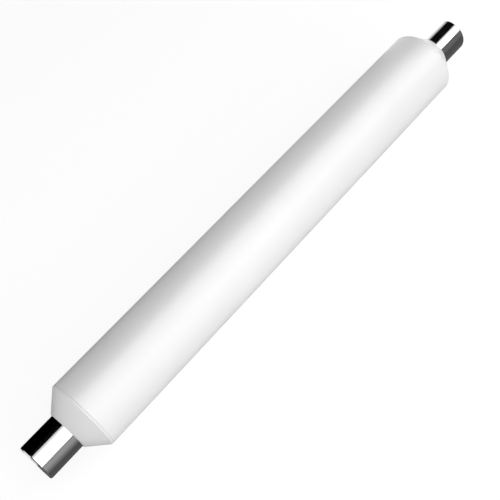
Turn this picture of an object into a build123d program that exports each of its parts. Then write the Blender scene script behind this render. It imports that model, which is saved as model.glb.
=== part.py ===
from build123d import *
import os

# Straight tubular lamp with a plain metal cap on each end, lying along X with its middle at the origin.
# All sizes are in millimetres.

# Overall sizes
overall_length = 310.0  # over the closed ends of the two caps
tube_diameter = 36.4  # outside of the opal tube and of the collars' bands
collar_length = 9.95  # seen length of a collar, from the seam to the shoulder that the cap sits on
cap_diameter = 18.8
cap_length = 18.8  # from the collar's shoulder to the cap's closed end

# Opal tube
tube_rim = 1.6  # wall left round the recess that takes a collar's plug
seam_chamfer = 0.2  # broken edge on each side of the seam between tube and collar

# Collars
band_width = 0.9  # straight band between the seam and the taper
band_edge_chamfer = 0.15  # broken corner where the band turns into the taper
nose_lip = 0.7  # how far the small end of the taper stands out past the cap
nose_edge_radius = 1.2  # rounded corner at the small end of the taper
plug_depth = 9.0  # how far the plug reaches into the tube
plug_lead = 0.8  # chamfer that starts the plug in its recess
neck_lead = 0.6  # chamfer that starts the neck in its cap

# Metal caps
cap_wall = 0.4
cap_edge_chamfer = 0.6  # broken corner at the closed end

# Fits
plug_clearance = 0.15  # between plug and recess, on the radius and at the bottom
neck_clearance = 0.1  # between neck and cap, on the radius
neck_end_gap = 1.0  # between the neck's end and the inside of the cap's closed end

# Sizes that follow from the ones above
tube_radius = tube_diameter / 2
tube_length = overall_length - 2 * (collar_length + cap_length)
recess_radius = tube_radius - tube_rim
recess_depth = plug_depth + plug_clearance
plug_radius = recess_radius - plug_clearance
cap_radius = cap_diameter / 2
cap_end = collar_length + cap_length
bore_radius = cap_radius - cap_wall
bore_end = cap_end - cap_wall
bore_chamfer = cap_edge_chamfer - cap_wall * (2 - 2**0.5)  # keeps the wall its thickness round the corner
nose_radius = cap_radius + nose_lip
neck_radius = bore_radius - neck_clearance
neck_end = bore_end - neck_end_gap


def corner_at(section, along, radius):
    """Corner of a half section nearest to a place along the axis and a radius."""
    return section.vertices().sort_by_distance((along, radius))[0]


os.makedirs("parts", exist_ok=True)

# Opal tube: a sealed body with a shallow round recess in each end for a collar's plug
with BuildPart() as opal_tube:
    with BuildSketch(Plane.YZ):
        Circle(tube_radius)
    extrude(amount=tube_length / 2, both=True)
    chamfer(opal_tube.edges().filter_by(GeomType.CIRCLE), length=seam_chamfer)
    for end_face in opal_tube.faces().filter_by(Axis.X):
        with BuildSketch(Plane(end_face)):
            Circle(recess_radius)
        extrude(amount=-recess_depth, mode=Mode.SUBTRACT)
opal_tube.part.label = "opal_tube"
export_step(opal_tube.part, "parts/opal_tube.step")

for end, direction in (("left", -1), ("right", 1)):
    # Half sections of this end's pieces: x runs out of the lamp from the seam, and y is the radius.
    section_plane = Plane(
        origin=(direction * tube_length / 2, 0, 0),
        x_dir=(direction, 0, 0),
        z_dir=(0, 0, direction),
    )

    # Collar: a moulding with a plug in the tube, a straight band, a taper, and a neck that carries the cap
    with BuildPart() as collar:
        with BuildSketch(section_plane) as collar_section:
            with BuildLine():
                Polyline(
                    (-plug_depth, 0),
                    (-plug_depth, plug_radius),
                    (0, plug_radius),
                    (0, tube_radius),
                    (band_width, tube_radius),
                    (collar_length, nose_radius),
                    (collar_length, neck_radius),
                    (neck_end, neck_radius),
                    (neck_end, 0),
                    close=True,
                )
            make_face()
            chamfer(corner_at(collar_section, -plug_depth, plug_radius), length=plug_lead)
            chamfer(corner_at(collar_section, 0, tube_radius), length=seam_chamfer)
            chamfer(corner_at(collar_section, band_width, tube_radius), length=band_edge_chamfer)
            fillet(corner_at(collar_section, collar_length, nose_radius), radius=nose_edge_radius)
            chamfer(corner_at(collar_section, neck_end, neck_radius), length=neck_lead)
        revolve(axis=Axis.X)
    collar.part.label = f"{end}_collar"
    export_step(collar.part, f"parts/{end}_collar.step")

    # Cap: a cup drawn from sheet metal, pushed over the neck until its mouth meets the collar's shoulder
    with BuildPart() as cap:
        with BuildSketch(section_plane) as cap_section:
            with BuildLine():
                Polyline(
                    (collar_length, bore_radius),
                    (collar_length, cap_radius),
                    (cap_end, cap_radius),
                    (cap_end, 0),
                    (bore_end, 0),
                    (bore_end, bore_radius),
                    close=True,
                )
            make_face()
            chamfer(corner_at(cap_section, cap_end, cap_radius), length=cap_edge_chamfer)
            chamfer(corner_at(cap_section, bore_end, bore_radius), length=bore_chamfer)
        revolve(axis=Axis.X)
    cap.part.label = f"{end}_cap"
    export_step(cap.part, f"parts/{end}_cap.step")
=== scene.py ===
# %% [markdown]
# # Dressing a tubular lamp
# The real lamp is a straight opal tube with a tapered white collar and a bright metal cap on each end.
# The construction file already gives every piece its size and its place, so nothing is fitted here.
# The imported model is loaded first as a fixed frame. It is never moved, and its box is kept.

# %% Load the imported model
import math

import bmesh
import bpy
from mathutils import Matrix, Vector


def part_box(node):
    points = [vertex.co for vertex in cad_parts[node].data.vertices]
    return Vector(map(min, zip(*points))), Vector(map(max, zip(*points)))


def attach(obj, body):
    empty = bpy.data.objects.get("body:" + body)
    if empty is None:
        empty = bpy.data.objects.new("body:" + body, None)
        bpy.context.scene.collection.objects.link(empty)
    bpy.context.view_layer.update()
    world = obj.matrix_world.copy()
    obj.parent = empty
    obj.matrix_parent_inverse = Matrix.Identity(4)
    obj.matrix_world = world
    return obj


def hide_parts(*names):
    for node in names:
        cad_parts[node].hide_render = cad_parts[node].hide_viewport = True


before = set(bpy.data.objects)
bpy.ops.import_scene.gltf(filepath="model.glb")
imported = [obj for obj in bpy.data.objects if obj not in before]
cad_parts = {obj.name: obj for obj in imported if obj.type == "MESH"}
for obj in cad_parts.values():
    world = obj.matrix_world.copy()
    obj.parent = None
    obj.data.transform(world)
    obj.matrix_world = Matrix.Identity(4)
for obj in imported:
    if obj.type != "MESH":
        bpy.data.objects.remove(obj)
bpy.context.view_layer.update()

print("nodes to dress:", sorted(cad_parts))

# %% [markdown]
# ## Sizes
# A piece that stands for a solid has to keep that solid's form. The box of each solid tells where it
# starts, where it ends and how wide it is. The lamp is the same at both ends, so the right end is
# measured and the left end is its mirror image. Sizes that a box can't tell, such as the width of a
# band or the wall of a cap, are named below in millimetres.

# %% Read the sizes of the lamp from the frame
MM = 0.001


def radius_of(node):
    """Largest radius of a round solid that lies along X."""
    low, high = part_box(node)
    return max(high.y, high.z, -low.y, -low.z)


tube_radius = radius_of("opal_tube")
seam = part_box("opal_tube")[1].x  # where tube and collar meet, from the middle of the lamp
plug_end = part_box("right_collar")[0].x
neck_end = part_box("right_collar")[1].x
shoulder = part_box("right_cap")[0].x  # where the mouth of the cap meets the collar
cap_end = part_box("right_cap")[1].x
cap_radius = radius_of("right_cap")
print(f"tube {tube_radius / MM:.2f} mm in radius, seam at {seam / MM:.2f} mm")
print(f"cap {cap_radius / MM:.2f} mm in radius, from {shoulder / MM:.2f} to {cap_end / MM:.2f} mm")

# %% Name the sizes that a box doesn't tell
tube_rim = 1.6 * MM  # wall round the recess that takes the plug
plug_clearance = 0.15 * MM
plug_lead = 0.8 * MM
band_width = 0.9 * MM  # straight band between the seam and the taper
nose_lip = 0.7 * MM  # the small end of the taper stands out past the cap by this much
cap_wall = 0.4 * MM
neck_clearance = 0.1 * MM
neck_lead = 0.6 * MM

recess_radius = tube_radius - tube_rim
plug_radius = recess_radius - plug_clearance
recess_end = plug_end - plug_clearance
nose_radius = cap_radius + nose_lip
bore_radius = cap_radius - cap_wall
neck_radius = bore_radius - neck_clearance

# %% [markdown]
# ## One rule for every piece: turning
# Every piece of this lamp is round about one axis. A lathe hand would draw half of its section and turn
# it. Blender has a Screw modifier and a Spin tool for that, but both want the small rounded edges drawn
# point by point. A Geometry Nodes tree can do all of it from a few corners: it rounds each corner by the
# radius that the corner carries, and wraps a grid of points round the axis. The rounded edges are what
# catches the light on moulded plastic and on drawn metal, so they are real geometry and no bump.


# %% Helpers that add a node to a tree
def add_node(tree, kind, values=None, **settings):
    """Adds a node, sets its own settings, and sets or links its inputs by name or number."""
    node = tree.nodes.new(kind)
    for name, setting in settings.items():
        setattr(node, name, setting)
    for key, value in (values or {}).items():
        if isinstance(value, bpy.types.NodeSocket):
            tree.links.new(value, node.inputs[key])
        else:
            node.inputs[key].default_value = value
    return node


def calculate(tree, operation, *values, kind="ShaderNodeMath"):
    """Adds a maths node that works on the given values and returns its result."""
    return add_node(tree, kind, dict(enumerate(values)), operation=operation).outputs[0]


# %% Start the turning tree with its named inputs
turning = bpy.data.node_groups.new("turned_piece", "GeometryNodeTree")
turning.interface.new_socket("Half section", in_out="INPUT", socket_type="NodeSocketGeometry")
steps_socket = turning.interface.new_socket("Steps per corner", in_out="INPUT", socket_type="NodeSocketInt")
segments_socket = turning.interface.new_socket("Segments round", in_out="INPUT", socket_type="NodeSocketInt")
finish_socket = turning.interface.new_socket("Finish", in_out="INPUT", socket_type="NodeSocketMaterial")
turning.interface.new_socket("Piece", in_out="OUTPUT", socket_type="NodeSocketGeometry")

tree_in = add_node(turning, "NodeGroupInput").outputs
print("inputs of the turning tree:", [socket.name for socket in tree_in if socket.name])

# %% Round the corners of the half section
section_curve = add_node(turning, "GeometryNodeMeshToCurve", {"Mesh": tree_in["Half section"]})
rounding = add_node(turning, "GeometryNodeInputNamedAttribute", {"Name": "rounding"}, data_type="FLOAT")
rounded = add_node(
    turning,
    "GeometryNodeFilletCurve",
    {
        "Curve": section_curve.outputs["Curve"],
        "Count": tree_in["Steps per corner"],
        "Radius": rounding.outputs["Attribute"],
    },
    mode="POLY",
).outputs["Curve"]
section_size = add_node(
    turning, "GeometryNodeAttributeDomainSize", {"Geometry": rounded}, component="CURVE"
)

# %% Lay out a grid: one row for each point of the section, one column for each step round the axis
WHOLE_MATHS = "FunctionNodeIntegerMath"

columns = calculate(turning, "ADD", tree_in["Segments round"], 1, kind=WHOLE_MATHS)
grid = add_node(
    turning,
    "GeometryNodeMeshGrid",
    {"Vertices X": section_size.outputs["Point Count"], "Vertices Y": columns},
).outputs["Mesh"]
index = add_node(turning, "GeometryNodeInputIndex").outputs["Index"]
row = calculate(turning, "DIVIDE_FLOOR", index, columns, kind=WHOLE_MATHS)
column = calculate(turning, "MODULO", index, columns, kind=WHOLE_MATHS)

# %% Wrap the grid round the axis
position = add_node(turning, "GeometryNodeInputPosition").outputs["Position"]
section_place = add_node(
    turning,
    "GeometryNodeSampleIndex",
    {"Geometry": rounded, "Index": row},
    data_type="FLOAT_VECTOR",
    domain="POINT",
)
turning.links.new(position, section_place.inputs["Value"])
section_parts = add_node(turning, "ShaderNodeSeparateXYZ", {"Vector": section_place.outputs["Value"]})
along_axis = section_parts.outputs["X"]
from_axis = section_parts.outputs["Y"]
share_of_turn = calculate(turning, "DIVIDE", column, tree_in["Segments round"])
angle = calculate(turning, "MULTIPLY", share_of_turn, math.tau)
across = calculate(turning, "MULTIPLY", from_axis, calculate(turning, "COSINE", angle))
upward = calculate(turning, "MULTIPLY", from_axis, calculate(turning, "SINE", angle))
place = add_node(turning, "ShaderNodeCombineXYZ", {"X": along_axis, "Y": across, "Z": upward})
wrapped = add_node(
    turning, "GeometryNodeSetPosition", {"Geometry": grid, "Position": place.outputs["Vector"]}
)

# %% Close the seam and the poles, then finish the tree
CLOSED = 0.001 * MM  # points nearer than this are one point

closed = add_node(
    turning, "GeometryNodeMergeByDistance", {"Geometry": wrapped.outputs["Geometry"], "Distance": CLOSED}
)
smooth = add_node(turning, "GeometryNodeSetShadeSmooth", {"Geometry": closed.outputs["Geometry"]})
realized = add_node(turning, "GeometryNodeRealizeInstances", {"Geometry": smooth.outputs["Geometry"]})
finished = add_node(
    turning,
    "GeometryNodeSetMaterial",
    {"Geometry": realized.outputs["Geometry"], "Material": tree_in["Finish"]},
)
add_node(turning, "NodeGroupOutput", {"Piece": finished.outputs["Geometry"]})
print("turning tree:", len(turning.nodes), "nodes")

# %% [markdown]
# Smooth shading blends the normals of neighbouring faces. Beside a small rounded edge that would bend
# the light on a long flat stretch, so each rounding gets a plain ring close beside it, which holds the
# stretch flat. Long runs get rings of their own at an even spacing, so that no face is a long sliver.

# %% Add the rings that hold flat stretches flat
HOLD = 0.12 * MM  # from the end of a rounding to the ring that holds it
LONGEST_RUN = 6 * MM
POLE_RING = 1.5 * MM  # the first ring round a closed end's middle


def with_holding_rings(corners):
    """Half section with plain points added between its corners, each (along, radius, rounding)."""
    places = [Vector(corner[:2]) for corner in corners]
    reach = [POLE_RING] * len(corners)
    for i in range(1, len(corners) - 1):
        turn_angle = (places[i] - places[i - 1]).angle(places[i + 1] - places[i])
        reach[i] = corners[i][2] * math.tan(turn_angle / 2) + HOLD
    points = []
    for i in range(len(corners) - 1):
        points.append(corners[i])
        run = places[i + 1] - places[i]
        free = run.length - reach[i] - reach[i + 1]
        if free < HOLD:
            continue
        pieces = math.ceil(free / LONGEST_RUN)
        for k in range(pieces + 1):
            ring = places[i] + run.normalized() * (reach[i] + free * k / pieces)
            points.append((ring.x, ring.y, 0.0))
    points.append(corners[-1])
    return points


# %% [markdown]
# The tree is used through a modifier on a line that holds the half section. Its result is copied to a
# plain mesh, because a model that leaves Blender carries no modifiers. A grid that is wrapped may end
# up inside out, so the faces are made to point outwards, and the enclosed volume is printed as a test.

# %% Turn a half section into a finished piece
CORNER_STEPS = 10
SEGMENTS_ROUND = 192


def turn(name, corners, finish):
    """Turns a half section of (along, radius, rounding) corners about X and returns the piece."""
    points = with_holding_rings(corners)
    line = bpy.data.meshes.new(name + "_half_section")
    line.from_pydata(
        [(along, radius, 0.0) for along, radius, _ in points],
        [(i, i + 1) for i in range(len(points) - 1)],
        [],
    )
    carried = line.attributes.new("rounding", "FLOAT", "POINT")
    carried.data.foreach_set("value", [corner_radius for _, _, corner_radius in points])
    lathe = bpy.data.objects.new(name + "_lathe", line)
    bpy.context.scene.collection.objects.link(lathe)
    modifier = lathe.modifiers.new("turning", "NODES")
    modifier.node_group = turning
    modifier[steps_socket.identifier] = CORNER_STEPS
    modifier[segments_socket.identifier] = SEGMENTS_ROUND
    modifier[finish_socket.identifier] = finish
    evaluated = lathe.evaluated_get(bpy.context.evaluated_depsgraph_get())
    mesh = bpy.data.meshes.new_from_object(evaluated)
    lathe.modifiers.remove(modifier)
    bpy.data.objects.remove(lathe)

    shell = bmesh.new()
    shell.from_mesh(mesh)
    bmesh.ops.recalc_face_normals(shell, faces=shell.faces)
    open_edges = sum(1 for edge in shell.edges if not edge.is_manifold)
    volume = shell.calc_volume(signed=True) / MM**3
    print(f"{name}: {len(shell.faces)} faces, {open_edges} open edges, {volume:.0f} cubic mm")
    shell.to_mesh(mesh)
    shell.free()

    mesh.name = name
    piece = bpy.data.objects.new(name, mesh)
    bpy.context.scene.collection.objects.link(piece)
    return piece


# %% [markdown]
# ## Shared surface effects
# Both plastics show a fine grain from the tool that formed them and a faint cloudiness of the white
# pigment. The tube and the caps were both drawn through a die, which leaves faint lines along their
# length. All of them are touched when the lamp is packed, which leaves soft patches of other gloss.
# Each effect is one shader group with its own scale, so that a material only picks its amounts.


# %% Helper that starts a shader group
def shader_group(name, inputs, outputs):
    """New shader node group with a Vector input, named float inputs and named float outputs."""
    group = bpy.data.node_groups.new(name, "ShaderNodeTree")
    group.interface.new_socket("Vector", in_out="INPUT", socket_type="NodeSocketVector")
    for socket_name in inputs:
        group.interface.new_socket(socket_name, in_out="INPUT", socket_type="NodeSocketFloat")
    for socket_name in outputs:
        group.interface.new_socket(socket_name, in_out="OUTPUT", socket_type="NodeSocketFloat")
    return group, add_node(group, "NodeGroupInput").outputs


# %% Grain and cloudiness of moulded plastic
moulded_skin, skin_in = shader_group(
    "moulded_skin", ["Grain per metre", "Clouds per metre"], ["Grain", "Clouds"]
)
grain = add_node(
    moulded_skin,
    "ShaderNodeTexNoise",
    {"Vector": skin_in["Vector"], "Scale": skin_in["Grain per metre"], "Detail": 3.0, "Roughness": 0.6},
)
clouds = add_node(
    moulded_skin,
    "ShaderNodeTexNoise",
    {"Vector": skin_in["Vector"], "Scale": skin_in["Clouds per metre"], "Detail": 2.0, "Roughness": 0.5},
)
add_node(moulded_skin, "NodeGroupOutput", {"Grain": grain.outputs["Fac"], "Clouds": clouds.outputs["Fac"]})

# %% Lines that a die leaves along the piece
LINE_STRETCH = 0.006  # a line is this much finer across than along

die_lines, lines_in = shader_group("die_lines", ["Lines per metre"], ["Lines"])
stretched = add_node(
    die_lines,
    "ShaderNodeMapping",
    {"Vector": lines_in["Vector"], "Scale": (LINE_STRETCH, 1.0, 1.0)},
)
lines = add_node(
    die_lines,
    "ShaderNodeTexNoise",
    {
        "Vector": stretched.outputs["Vector"],
        "Scale": lines_in["Lines per metre"],
        "Detail": 2.0,
        "Roughness": 0.65,
    },
)
add_node(die_lines, "NodeGroupOutput", {"Lines": lines.outputs["Fac"]})

# %% Soft patches left by handling
FULL_PATCH = 0.85  # noise value at which a patch is at its strongest

handling, handling_in = shader_group("handling_marks", ["Patches per metre", "Cover"], ["Patches"])
patch_noise = add_node(
    handling,
    "ShaderNodeTexNoise",
    {
        "Vector": handling_in["Vector"],
        "Scale": handling_in["Patches per metre"],
        "Detail": 4.0,
        "Roughness": 0.55,
        "Distortion": 0.6,
    },
)
patch_start = calculate(handling, "SUBTRACT", 1.0, handling_in["Cover"])
patches = add_node(
    handling,
    "ShaderNodeMapRange",
    {"Value": patch_noise.outputs["Fac"], "From Min": patch_start, "From Max": FULL_PATCH},
    interpolation_type="SMOOTHSTEP",
)
add_node(handling, "NodeGroupOutput", {"Patches": patches.outputs["Result"]})
print("shader groups:", [group.name for group in (moulded_skin, die_lines, handling)])


# %% Helpers that start a material and place a group in it
def new_finish(name):
    """Material with a Principled shader, and the Object coordinates that its patterns follow."""
    finish = bpy.data.materials.new(name)
    finish.use_nodes = True
    tree = finish.node_tree
    tree.nodes.clear()
    shader = add_node(tree, "ShaderNodeBsdfPrincipled")
    add_node(tree, "ShaderNodeOutputMaterial", {"Surface": shader.outputs["BSDF"]})
    where = add_node(tree, "ShaderNodeTexCoord").outputs["Object"]
    return finish, tree, shader, where


def place_group(tree, group, where, values):
    """Places a shader group in a material and returns its outputs."""
    node = add_node(tree, "ShaderNodeGroup", node_tree=group)
    tree.links.new(where, node.inputs["Vector"])
    for name, value in values.items():
        node.inputs[name].default_value = value
    return node.outputs


def connect(tree, shader, colour, gloss, height, depth):
    """Joins a colour, a gloss and a bump of the given depth to the shader."""
    bump = add_node(tree, "ShaderNodeBump", {"Height": height, "Strength": 1.0, "Distance": depth})
    tree.links.new(colour, shader.inputs["Base Color"])
    tree.links.new(gloss, shader.inputs["Roughness"])
    tree.links.new(bump.outputs["Normal"], shader.inputs["Normal"])


# %% Helpers that work on values that change over the surface
def blend_colours(tree, factor, first, second):
    """Colour between two colours."""
    mix = add_node(tree, "ShaderNodeMix", {"Factor": factor}, data_type="RGBA")
    mix.inputs[6].default_value = (*first, 1.0)
    mix.inputs[7].default_value = (*second, 1.0)
    return mix.outputs[2]


def spread(tree, value, low, high, start=0.3, stop=0.7):
    """Maps the range from start to stop, or else the middle of a noise, to the range from low to high."""
    return add_node(
        tree,
        "ShaderNodeMapRange",
        {"Value": value, "From Min": start, "From Max": stop, "To Min": low, "To Max": high},
    ).outputs["Result"]


def share(tree, value, amount):
    """A share of the amount, by a value from 0 to 1."""
    return spread(tree, value, 0.0, amount, 0.0, 1.0)


def distance_from_middle(tree, where):
    """Distance along the lamp from its middle, the same towards both ends."""
    along = add_node(tree, "ShaderNodeSeparateXYZ", {"Vector": where}).outputs["X"]
    return calculate(tree, "ABSOLUTE", along)


# %% [markdown]
# ## Opal plastic of the tube
# The tube is an opal diffuser with a satin skin: white pigment all through, no sharp reflections, and
# very faint lines from the die. A flat white would look like paper. The cloudiness moves the white by
# about one part in a hundred, the lines and the handling move the gloss, and the grain breaks up the
# highlight with a bump of a few thousandths of a millimetre.

# %% Make the opal finish
OPAL_WHITE = (0.915, 0.915, 0.912)
OPAL_CLOUD = (0.895, 0.896, 0.897)

opal, tree, shader, where = new_finish("opal_diffuser")
skin = place_group(tree, moulded_skin, where, {"Grain per metre": 1800.0, "Clouds per metre": 38.0})
tube_lines = place_group(tree, die_lines, where, {"Lines per metre": 700.0})["Lines"]
tube_marks = place_group(tree, handling, where, {"Patches per metre": 45.0, "Cover": 0.45})["Patches"]
colour = blend_colours(tree, spread(tree, skin["Clouds"], 0.0, 1.0), OPAL_WHITE, OPAL_CLOUD)
gloss = calculate(tree, "ADD", spread(tree, tube_lines, 0.32, 0.38), share(tree, tube_marks, 0.05))
height = calculate(tree, "ADD", skin["Grain"], tube_lines)
connect(tree, shader, colour, gloss, height, 0.002 * MM)
shader.inputs["IOR"].default_value = 1.55
shader.inputs["Specular IOR Level"].default_value = 0.74
print("opal finish:", len(tree.nodes), "nodes")

# %% [markdown]
# ## Moulded plastic of the collars
# The collars come out of a mould whose faces were left slightly rough, so they are a little duller than
# the tube and their grain is finer. No die lines here: only grain, cloudiness and handling. Towards the
# nose the white is darkened to grey, a painted shade for the shade that falls on the taper beside the cap.

# %% Make the collar finish
COLLAR_WHITE = (0.91, 0.909, 0.907)
# This grey serves both the painted shade at the nose and the random tone of the clouds.
COLLAR_SHADE_AND_CLOUD_GREY = (0.80, 0.80, 0.80)

collar_white, tree, shader, where = new_finish("collar_moulding")
skin = place_group(tree, moulded_skin, where, {"Grain per metre": 2600.0, "Clouds per metre": 70.0})
collar_marks = place_group(tree, handling, where, {"Patches per metre": 90.0, "Cover": 0.45})["Patches"]
# Painted shade: the white darkens towards the nose, beside the cap, and the clouds add a random grey on top.
towards_nose = spread(tree, distance_from_middle(tree, where), 0.0, 1.0, seam + band_width, shoulder)
painted_nose_shade = calculate(tree, "POWER", towards_nose, 2.0)
painted_nose_shade_and_clouds = calculate(tree, "ADD", share(tree, painted_nose_shade, 0.75), spread(tree, skin["Clouds"], 0.0, 0.2))
colour = blend_colours(tree, painted_nose_shade_and_clouds, COLLAR_WHITE, COLLAR_SHADE_AND_CLOUD_GREY)
gloss = calculate(tree, "ADD", spread(tree, skin["Grain"], 0.34, 0.44), share(tree, collar_marks, 0.06))
connect(tree, shader, colour, gloss, skin["Grain"], 0.004 * MM)
print("collar finish:", len(tree.nodes), "nodes")

# %% [markdown]
# ## Bright plated metal of the caps
# The caps are cups drawn from sheet and plated bright, so they mirror whatever stands round the lamp.
# A perfect mirror looks false: the drawing die leaves faint lines along the wall, and fingers leave
# patches that are a little duller. Both go into the roughness, and the lines also into a slight bump.
# The flat end, which the contact of the holder presses on, is satin and a little darker than the wall.

# %% Make the plated finish
PLATE_BRIGHT = (0.80, 0.80, 0.805)
PLATE_DARK = (0.50, 0.50, 0.50)
END_FADE = 0.3 * MM  # the satin of the flat end starts this far back, on the rounded edge

plated, tree, shader, where = new_finish("cap_metal")
cap_lines = place_group(tree, die_lines, where, {"Lines per metre": 2200.0})["Lines"]
cap_marks = place_group(tree, handling, where, {"Patches per metre": 130.0, "Cover": 0.5})["Patches"]
end_face = spread(tree, distance_from_middle(tree, where), 0.0, 1.0, cap_end - END_FADE, cap_end)
darkening = calculate(tree, "ADD", share(tree, cap_marks, 0.12), share(tree, end_face, 0.9))
colour = blend_colours(tree, darkening, PLATE_BRIGHT, PLATE_DARK)
wall_gloss = calculate(tree, "ADD", spread(tree, cap_lines, 0.04, 0.09), share(tree, cap_marks, 0.06))
gloss = calculate(tree, "ADD", wall_gloss, share(tree, end_face, 0.22))
connect(tree, shader, colour, gloss, cap_lines, 0.0001 * MM)
shader.inputs["Metallic"].default_value = 1.0
print("plated finish:", len(tree.nodes), "nodes")

# %% [markdown]
# ## The opal tube
# The tube is cut square at both ends, with the edges broken so that it is safe to handle, and it takes
# the plug of a collar in a shallow recess at each end. Tube and collar meet on their inner rims, and a
# hair's breadth of air is left between their outer edges, which shows as the fine dark line of the seam.
# The half section runs from the bottom of one recess, over the outside, to the bottom of the other.


# %% Helpers that mirror a half section and seat a piece on the lamp
def on_side(direction, corners):
    """Corners of the right end as they are for 1, and mirrored to the left end for -1."""
    return [(direction * along, radius, corner_radius) for along, radius, corner_radius in corners]


def seat(piece, node):
    """Lets a piece ride on the lamp and stand for its solid, whose imported part is hidden."""
    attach(piece, "root")
    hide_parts(node)


# %% Turn the tube
SEAM_ROUNDING = 0.2 * MM  # broken edge on each side of the seam
SEAM_AIR = 0.05 * MM  # half of the air gap between the outer edges
SEAM_DEPTH = 0.5 * MM  # how far the air gap goes in
SEAM_FLOOR_ROUNDING = 0.02 * MM
HIDDEN_ROUNDING = 0.1 * MM  # edges that only show when the lamp is taken apart

tube_end = [
    (recess_end, 0.0, 0.0),
    (recess_end, recess_radius, HIDDEN_ROUNDING),
    (seam, recess_radius, HIDDEN_ROUNDING),
    (seam, tube_radius - SEAM_DEPTH, SEAM_FLOOR_ROUNDING),
    (seam - SEAM_AIR, tube_radius - SEAM_DEPTH, SEAM_FLOOR_ROUNDING),
    (seam - SEAM_AIR, tube_radius, SEAM_ROUNDING),
]
tube_corners = tube_end + on_side(-1, reversed(tube_end))
seat(turn("tube_opal", tube_corners, opal), "opal_tube")

# %% [markdown]
# ## The collars
# A collar is one moulding: a plug that sits in the tube, a narrow straight band beside the seam, a taper,
# a rounded nose, and a neck that carries the cap. The corner between band and taper is nearly sharp, so
# the band shows as a thin bright line beside the seam.

# %% Turn both collars
BAND_ROUNDING = 0.2 * MM
NOSE_ROUNDING = 1.2 * MM
ENDS = (("left", -1), ("right", 1))

collar_corners = [
    (plug_end, 0.0, 0.0),
    (plug_end, plug_radius - plug_lead, HIDDEN_ROUNDING),
    (plug_end + plug_lead, plug_radius, HIDDEN_ROUNDING),
    (seam, plug_radius, HIDDEN_ROUNDING),
    (seam, tube_radius - SEAM_DEPTH, SEAM_FLOOR_ROUNDING),
    (seam + SEAM_AIR, tube_radius - SEAM_DEPTH, SEAM_FLOOR_ROUNDING),
    (seam + SEAM_AIR, tube_radius, SEAM_ROUNDING),
    (seam + band_width, tube_radius, BAND_ROUNDING),
    (shoulder, nose_radius, NOSE_ROUNDING),
    (shoulder, neck_radius, HIDDEN_ROUNDING),
    (neck_end - neck_lead, neck_radius, HIDDEN_ROUNDING),
    (neck_end, neck_radius - neck_lead, HIDDEN_ROUNDING),
    (neck_end, 0.0, 0.0),
]
for end, direction in ENDS:
    collar = turn(f"collar_{end}", on_side(direction, collar_corners), collar_white)
    seat(collar, f"{end}_collar")

# %% [markdown]
# ## The caps
# A cap is a cup drawn from thin sheet, pushed over the neck until its mouth meets the nose of the collar.
# Drawing leaves a true round at the closed end, as wide inside as the wall allows, and the mouth was
# trimmed and has lost its burr.

# %% Turn both caps
CAP_ROUNDING = 1.0 * MM
MOUTH_ROUNDING = 0.1 * MM

cap_corners = [
    (cap_end - cap_wall, 0.0, 0.0),
    (cap_end - cap_wall, bore_radius, CAP_ROUNDING - cap_wall),
    (shoulder, bore_radius, MOUTH_ROUNDING),
    (shoulder, cap_radius, MOUTH_ROUNDING),
    (cap_end, cap_radius, CAP_ROUNDING),
    (cap_end, 0.0, 0.0),
]
for end, direction in ENDS:
    cap = turn(f"cap_{end}", on_side(direction, cap_corners), plated)
    seat(cap, f"{end}_cap")

# %% [markdown]
# ## Floor and surroundings
# The lamp lies on a plain white floor. For the camera the floor is mostly its own white, so that the
# picture has a white ground without more light on the lamp, and partly lit paint, so that the shadow
# stays. Away from the lamp less light falls on the floor, so its own white rises there, and no edge shows
# where the floor ends. Mirrors see the same white floor. Light that bounces from the floor to the lamp
# sees plain white paint.


# %% Helpers for greys, and to tell the rays that show a background from the rays that carry light
def grey(level):
    """Colour without tint, as a shader takes it."""
    return (level, level, level, 1.0)


def shows_background(tree):
    """1 for rays of the camera, of mirrors and of glass, and 0 for light that bounces."""
    rays = add_node(tree, "ShaderNodeLightPath").outputs
    seen = calculate(tree, "MAXIMUM", rays["Is Camera Ray"], rays["Is Glossy Ray"])
    return calculate(tree, "MAXIMUM", seen, rays["Is Transmission Ray"])


# %% Paint the floor
FLOOR_PAINT = 0.8  # for light that bounces
FLOOR_LIT_PAINT = 0.24  # for the camera, to keep the shadow
FLOOR_NEAR_WHITE = 0.82  # the floor's own white beside the lamp
FLOOR_FAR_WHITE = 0.98  # and far from it
FLOOR_FADE = (0.20, 0.80)  # distances from the middle of the lamp between which the white rises

floor_paint = bpy.data.materials.new("floor_white")
floor_paint.use_nodes = True
tree = floor_paint.node_tree
tree.nodes.clear()
paint = add_node(tree, "ShaderNodeBsdfDiffuse", {"Color": grey(FLOOR_PAINT)})
where = add_node(tree, "ShaderNodeTexCoord").outputs["Object"]
distance = add_node(tree, "ShaderNodeVectorMath", {0: where}, operation="LENGTH").outputs["Value"]
own_level = spread(tree, distance, FLOOR_NEAR_WHITE, FLOOR_FAR_WHITE, *FLOOR_FADE)
own_white = add_node(tree, "ShaderNodeEmission", {"Strength": own_level})
lit_white = add_node(tree, "ShaderNodeBsdfDiffuse", {"Color": grey(FLOOR_LIT_PAINT)})
shown = add_node(tree, "ShaderNodeAddShader", {0: own_white.outputs[0], 1: lit_white.outputs[0]})
surface = add_node(
    tree, "ShaderNodeMixShader", {0: shows_background(tree), 1: paint.outputs[0], 2: shown.outputs[0]}
)
add_node(tree, "ShaderNodeOutputMaterial", {"Surface": surface.outputs[0]})
print("floor paint:", len(tree.nodes), "nodes")

# %% Lay the floor
FLOOR_HALF = 8.0  # half of its width, in metres

floor_mesh = bpy.data.meshes.new("floor")
floor_height = -tube_radius
floor_mesh.from_pydata(
    [(x * FLOOR_HALF, y * FLOOR_HALF, floor_height) for x, y in ((-1, -1), (1, -1), (1, 1), (-1, 1))],
    [],
    [(0, 1, 2, 3)],
)
floor_mesh.materials.append(floor_paint)
floor = bpy.data.objects.new("floor", floor_mesh)
bpy.context.scene.collection.objects.link(floor)
print(f"floor at {floor_height / MM:.1f} mm")

# %% Make the surroundings
AMBIENT = 0.12

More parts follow.
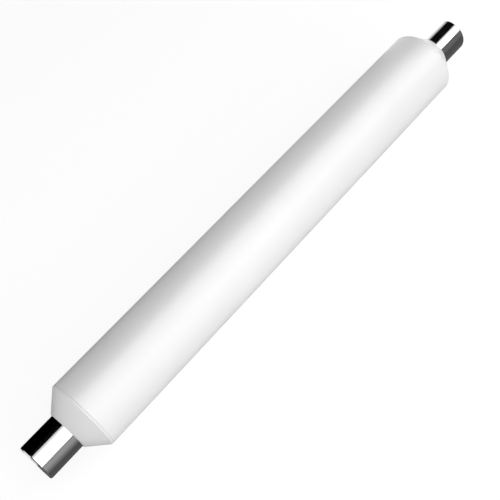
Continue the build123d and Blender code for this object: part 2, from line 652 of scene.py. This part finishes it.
world = bpy.data.worlds.new("studio")
world.use_nodes = True
bpy.context.scene.world = world
tree = world.node_tree
tree.nodes.clear()
room_light = add_node(tree, "ShaderNodeBackground", {"Color": grey(1.0), "Strength": AMBIENT}).outputs[0]
white_ground = add_node(tree, "ShaderNodeBackground", {"Color": grey(1.0), "Strength": 1.0}).outputs[0]
surface = add_node(
    tree, "ShaderNodeMixShader", {0: shows_background(tree), 1: room_light, 2: white_ground}
)
add_node(tree, "ShaderNodeOutputWorld", {"Surface": surface.outputs[0]})
print("surroundings:", world.name)

# %% [markdown]
# ## Studio light
# One wide softbox hangs over the lamp, a little to the camera's side, and a second one stands on that
# side. One more beyond each end keeps the tapers of the collars from going grey: a large one at the near
# end, and a small low one at the far end. They light the lamp, but its gloss does not see them: the cards
# of the next step do that part, so light and reflections can be set apart. The strength of an area lamp
# is its brightness times its area, so the brightness is what is named here.


# %% Helper that hangs a softbox
def softbox(name, centre, aim, size, brightness):
    """Area lamp that faces a point, with its brightness given as seen from there."""
    lamp = bpy.data.lights.new(name, "AREA")
    lamp.shape = "RECTANGLE"
    lamp.size, lamp.size_y = size
    lamp.energy = brightness * math.pi * size[0] * size[1]
    holder = bpy.data.objects.new(name, lamp)
    holder.location = centre
    holder.rotation_euler = (Vector(centre) - Vector(aim)).to_track_quat("Z", "Y").to_euler()
    holder.visible_camera = False
    holder.visible_glossy = False
    bpy.context.scene.collection.objects.link(holder)
    print(f"{name}: {lamp.energy:.2f} W")


# %% Hang the softboxes
softbox(
    "overhead_softbox", centre=(0.10, -0.23, 0.50), aim=(0.10, -0.23, 0.0), size=(1.20, 0.86), brightness=0.97
)
softbox("side_softbox", centre=(0.0, -0.60, 0.20), aim=(0.0, 0.0, 0.0), size=(0.50, 0.35), brightness=3.35)
softbox("end_softbox", centre=(-0.65, 0.37, 0.25), aim=(-0.10, 0.0, 0.0), size=(0.50, 0.40), brightness=1.95)
softbox(
    "far_end_softbox", centre=(0.32, 0.01, 0.035), aim=(0.13, 0.0, 0.01), size=(0.14, 0.09), brightness=3.4
)

# %% [markdown]
# ## Cards for gloss and mirrors
# Bright metal has no look of its own: it shows its surroundings. A photographer stands black, grey and
# white card round such metal to give it stripes, and so does this scene. Some cards are graded from one
# grey to another, and a narrow graded card beside a dark one gives its stripe a soft edge. The white card
# overhead also gives the tube its soft sheen. Only gloss sees the cards: they are hidden from the camera,
# throw no shadow and carry no light to the lamp.

# %% Helpers that make a card from points
CARD_GLOW = 2.1  # a white card's brightness


def one_grey(level):
    """Greys of a card that is the same all over."""
    return [(0, level), (1, level)]


def stand_card(name, points, faces, greys, places=None):
    """Card that only gloss sees, with greys of (place, brightness).

    Its grey follows the place that each point carries, an angle or a distance.
    """
    mesh = bpy.data.meshes.new(name)
    mesh.from_pydata(points, [], faces)
    carried = mesh.attributes.new("place", "FLOAT", "POINT")
    carried.data.foreach_set("value", places or [0.0] * len(points))
    paint = bpy.data.materials.new(name)
    paint.use_nodes = True
    tree = paint.node_tree
    tree.nodes.clear()
    place = add_node(tree, "ShaderNodeAttribute", attribute_name="place").outputs["Fac"]
    first = greys[0][0]
    last = greys[-1][0]
    ramp = add_node(tree, "ShaderNodeValToRGB", {"Fac": spread(tree, place, 0.0, 1.0, first, last)})
    stops = ramp.color_ramp.elements
    while len(stops) < len(greys):
        stops.new(1.0)
    for stop, (stop_place, level) in zip(stops, greys):
        stop.position = (stop_place - first) / (last - first)
        stop.color = grey(level / CARD_GLOW)
    glow = add_node(tree, "ShaderNodeEmission", {"Color": ramp.outputs["Color"], "Strength": CARD_GLOW})
    add_node(tree, "ShaderNodeOutputMaterial", {"Surface": glow.outputs[0]})
    mesh.materials.append(paint)
    holder = bpy.data.objects.new(name, mesh)
    holder.visible_camera = False
    holder.visible_diffuse = False
    holder.visible_shadow = False
    holder.visible_transmission = False
    bpy.context.scene.collection.objects.link(holder)


# %% Helper that bends a card round the axis and stops it above the floor
CARD_STEPS = 60
CARD_LIFT = 0.3 * MM  # between the floor and the lowest card, and between one card and the next


def bent_card(name, radius, x_range, angle_range, greys, along=False, lift=CARD_LIFT):
    """Card round the axis, with greys by angle, or by the place along the lamp.

    Angles are degrees from upright, positive towards the camera's side.
    """
    depth = -floor_height - lift
    points = []
    places = []
    for i in range(CARD_STEPS + 1):
        degrees = angle_range[0] + (angle_range[1] - angle_range[0]) * i / CARD_STEPS
        across = -math.sin(math.radians(degrees))
        upward = math.cos(math.radians(degrees))
        distance = min(radius, depth / -upward) if upward < 0 else radius
        for x in x_range:
            points.append((x, across * distance, upward * distance))
            places.append(x if along else abs(degrees))
    faces = [(2 * i, 2 * i + 1, 2 * i + 3, 2 * i + 2) for i in range(CARD_STEPS)]
    stand_card(name, points, faces, greys, places)


# %% Stand the white card overhead and the dark card on the left
WIDE = 0.12  # radius of most bent cards
DOWN = 180  # degrees
NEAR_BLACK = -20.2  # angle where the black stripe of the near cap starts
LEFT_FLOOR = -118  # from this angle down, the left card ends nearer to the lamp

overhead = [(-0.5, -0.75, 0.5), (1.1, -0.75, 0.5), (1.1, 0.35, 0.5), (-0.5, 0.35, 0.5)]
stand_card("overhead_white_card", overhead, [(0, 1, 2, 3)], one_grey(CARD_GLOW))
left_greys = [(-0.11, 0.0), (0.10, 0.55)]
bent_card("left_card", WIDE, (-0.20, 0.30), (NEAR_BLACK, LEFT_FLOOR), left_greys, along=True)
bent_card("left_floor_card", WIDE, (-0.163, 0.30), (LEFT_FLOOR, -DOWN), left_greys, along=True)

# %% Stand the cards beside the near cap
NEAR_GREY = 52.6  # angle where the grey stripe of the near cap starts
BESIDE_NEAR = -0.165  # the cards beside the near cap end here, just past its closed end

near_edge_greys = [(4, CARD_GLOW), (8, 1.1), (20, 0.62)]
bent_card("near_edge_card", WIDE, (-0.17, -0.12), (-4.0, NEAR_BLACK), near_edge_greys)
near_right_greys = [(55, 0.31), (74, 0.36), (110, 0.085), (155, 0.1)]
bent_card("near_right_card", WIDE, (BESIDE_NEAR, shoulder), (NEAR_GREY, DOWN), near_right_greys)

# %% Stand the cards beside the far cap
CLOSE = 0.05  # radius of the cards that stand close round the far cap
FAR_CAP_X = (0.14, 0.26)
FAR_BLACK = 0.8  # angle where the black stripe of the far cap starts
FAR_GREY = 47.2  # angle where its grey stripe starts

far_edge_greys = [(1, 0.8), (9, 1.1), (13, CARD_GLOW)]
bent_card("far_edge_card", CLOSE, FAR_CAP_X, (13.0, FAR_BLACK), far_edge_greys)
far_left_greys = [(43, 0.0), (47, 0.06), (57, 0.76), (75, 1.3)]
bent_card("far_left_card", CLOSE, FAR_CAP_X, (FAR_BLACK, -DOWN), far_left_greys, lift=2 * CARD_LIFT)
far_right_greys = [(75, 0.15), (92, 0.09), (112, 0.09), (137, 0.12)]
bent_card("far_right_card", WIDE, (shoulder, 0.60), (FAR_GREY, DOWN), far_right_greys)

# %% [markdown]
# The rounded edge at the closed end of the near cap mirrors what stands beyond that end. Dark card on the
# camera's side there, and a small black card hung above, draw the fine dark line along this edge.

# %% Stand the cards beyond the near end
BEYOND_NEAR = -0.30  # these cards reach this far, along the lamp and to the camera's side
END_GREY = 0.20
END_SIDE_GREY = 0.12
RIM_CARD_HEIGHT = 0.02

on_floor = floor_height + CARD_LIFT
end_rows = [(BESIDE_NEAR, on_floor, 0.003), (BEYOND_NEAR, on_floor, -0.015), (BEYOND_NEAR, 0.12, -0.057)]
end_points = [(x, y, z) for x, z, left_edge in end_rows for y in (BEYOND_NEAR, left_edge)]
stand_card("near_end_card", end_points, [(0, 1, 3, 2), (2, 3, 5, 4)], one_grey(END_GREY))
bent_card("near_end_side_card", WIDE, (BEYOND_NEAR, BESIDE_NEAR), (46, DOWN), one_grey(END_SIDE_GREY))
rim_points = [(x, y, RIM_CARD_HEIGHT) for x in (-0.170, -0.1551) for y in (-0.018, 0.0065)]
stand_card("near_rim_card", rim_points, [(0, 1, 3, 2)], one_grey(0.0))

# %% [markdown]
# ## Camera
# The photograph looks down on the lamp along its length, from close by, so the near end is clearly wider
# than the far end. The place of the camera is named by its direction, its distance and how far the middle
# of the lamp lies from the middle of the picture.

# %% Set up the camera
VIEW_AZIMUTH = math.radians(-49.341)
VIEW_ELEVATION = math.radians(63.691)
VIEW_DISTANCE = 0.40473
LAMP_RIGHT = 9.377 * MM
LAMP_UP = 13.993 * MM
LENS_MM = 59.47
SENSOR_MM = 36.0

back = Vector(
    (
        math.sin(VIEW_AZIMUTH) * math.cos(VIEW_ELEVATION),
        -math.cos(VIEW_AZIMUTH) * math.cos(VIEW_ELEVATION),
        math.sin(VIEW_ELEVATION),
    )
)
right = Vector((math.cos(VIEW_AZIMUTH), math.sin(VIEW_AZIMUTH), 0.0))
up = back.cross(right)
camera_data = bpy.data.cameras.new("camera")
camera_data.lens = LENS_MM
camera_data.sensor_width = SENSOR_MM
camera_data.clip_start = 0.01
camera_data.clip_end = 50.0
camera = bpy.data.objects.new("camera", camera_data)
camera.rotation_euler = Matrix((right, up, back)).transposed().to_euler()
camera.location = back * VIEW_DISTANCE - right * LAMP_RIGHT - up * LAMP_UP
bpy.context.scene.collection.objects.link(camera)
bpy.context.scene.camera = camera
bpy.context.scene.view_settings.view_transform = "Standard"
print("camera at", [round(value, 4) for value in camera.location])
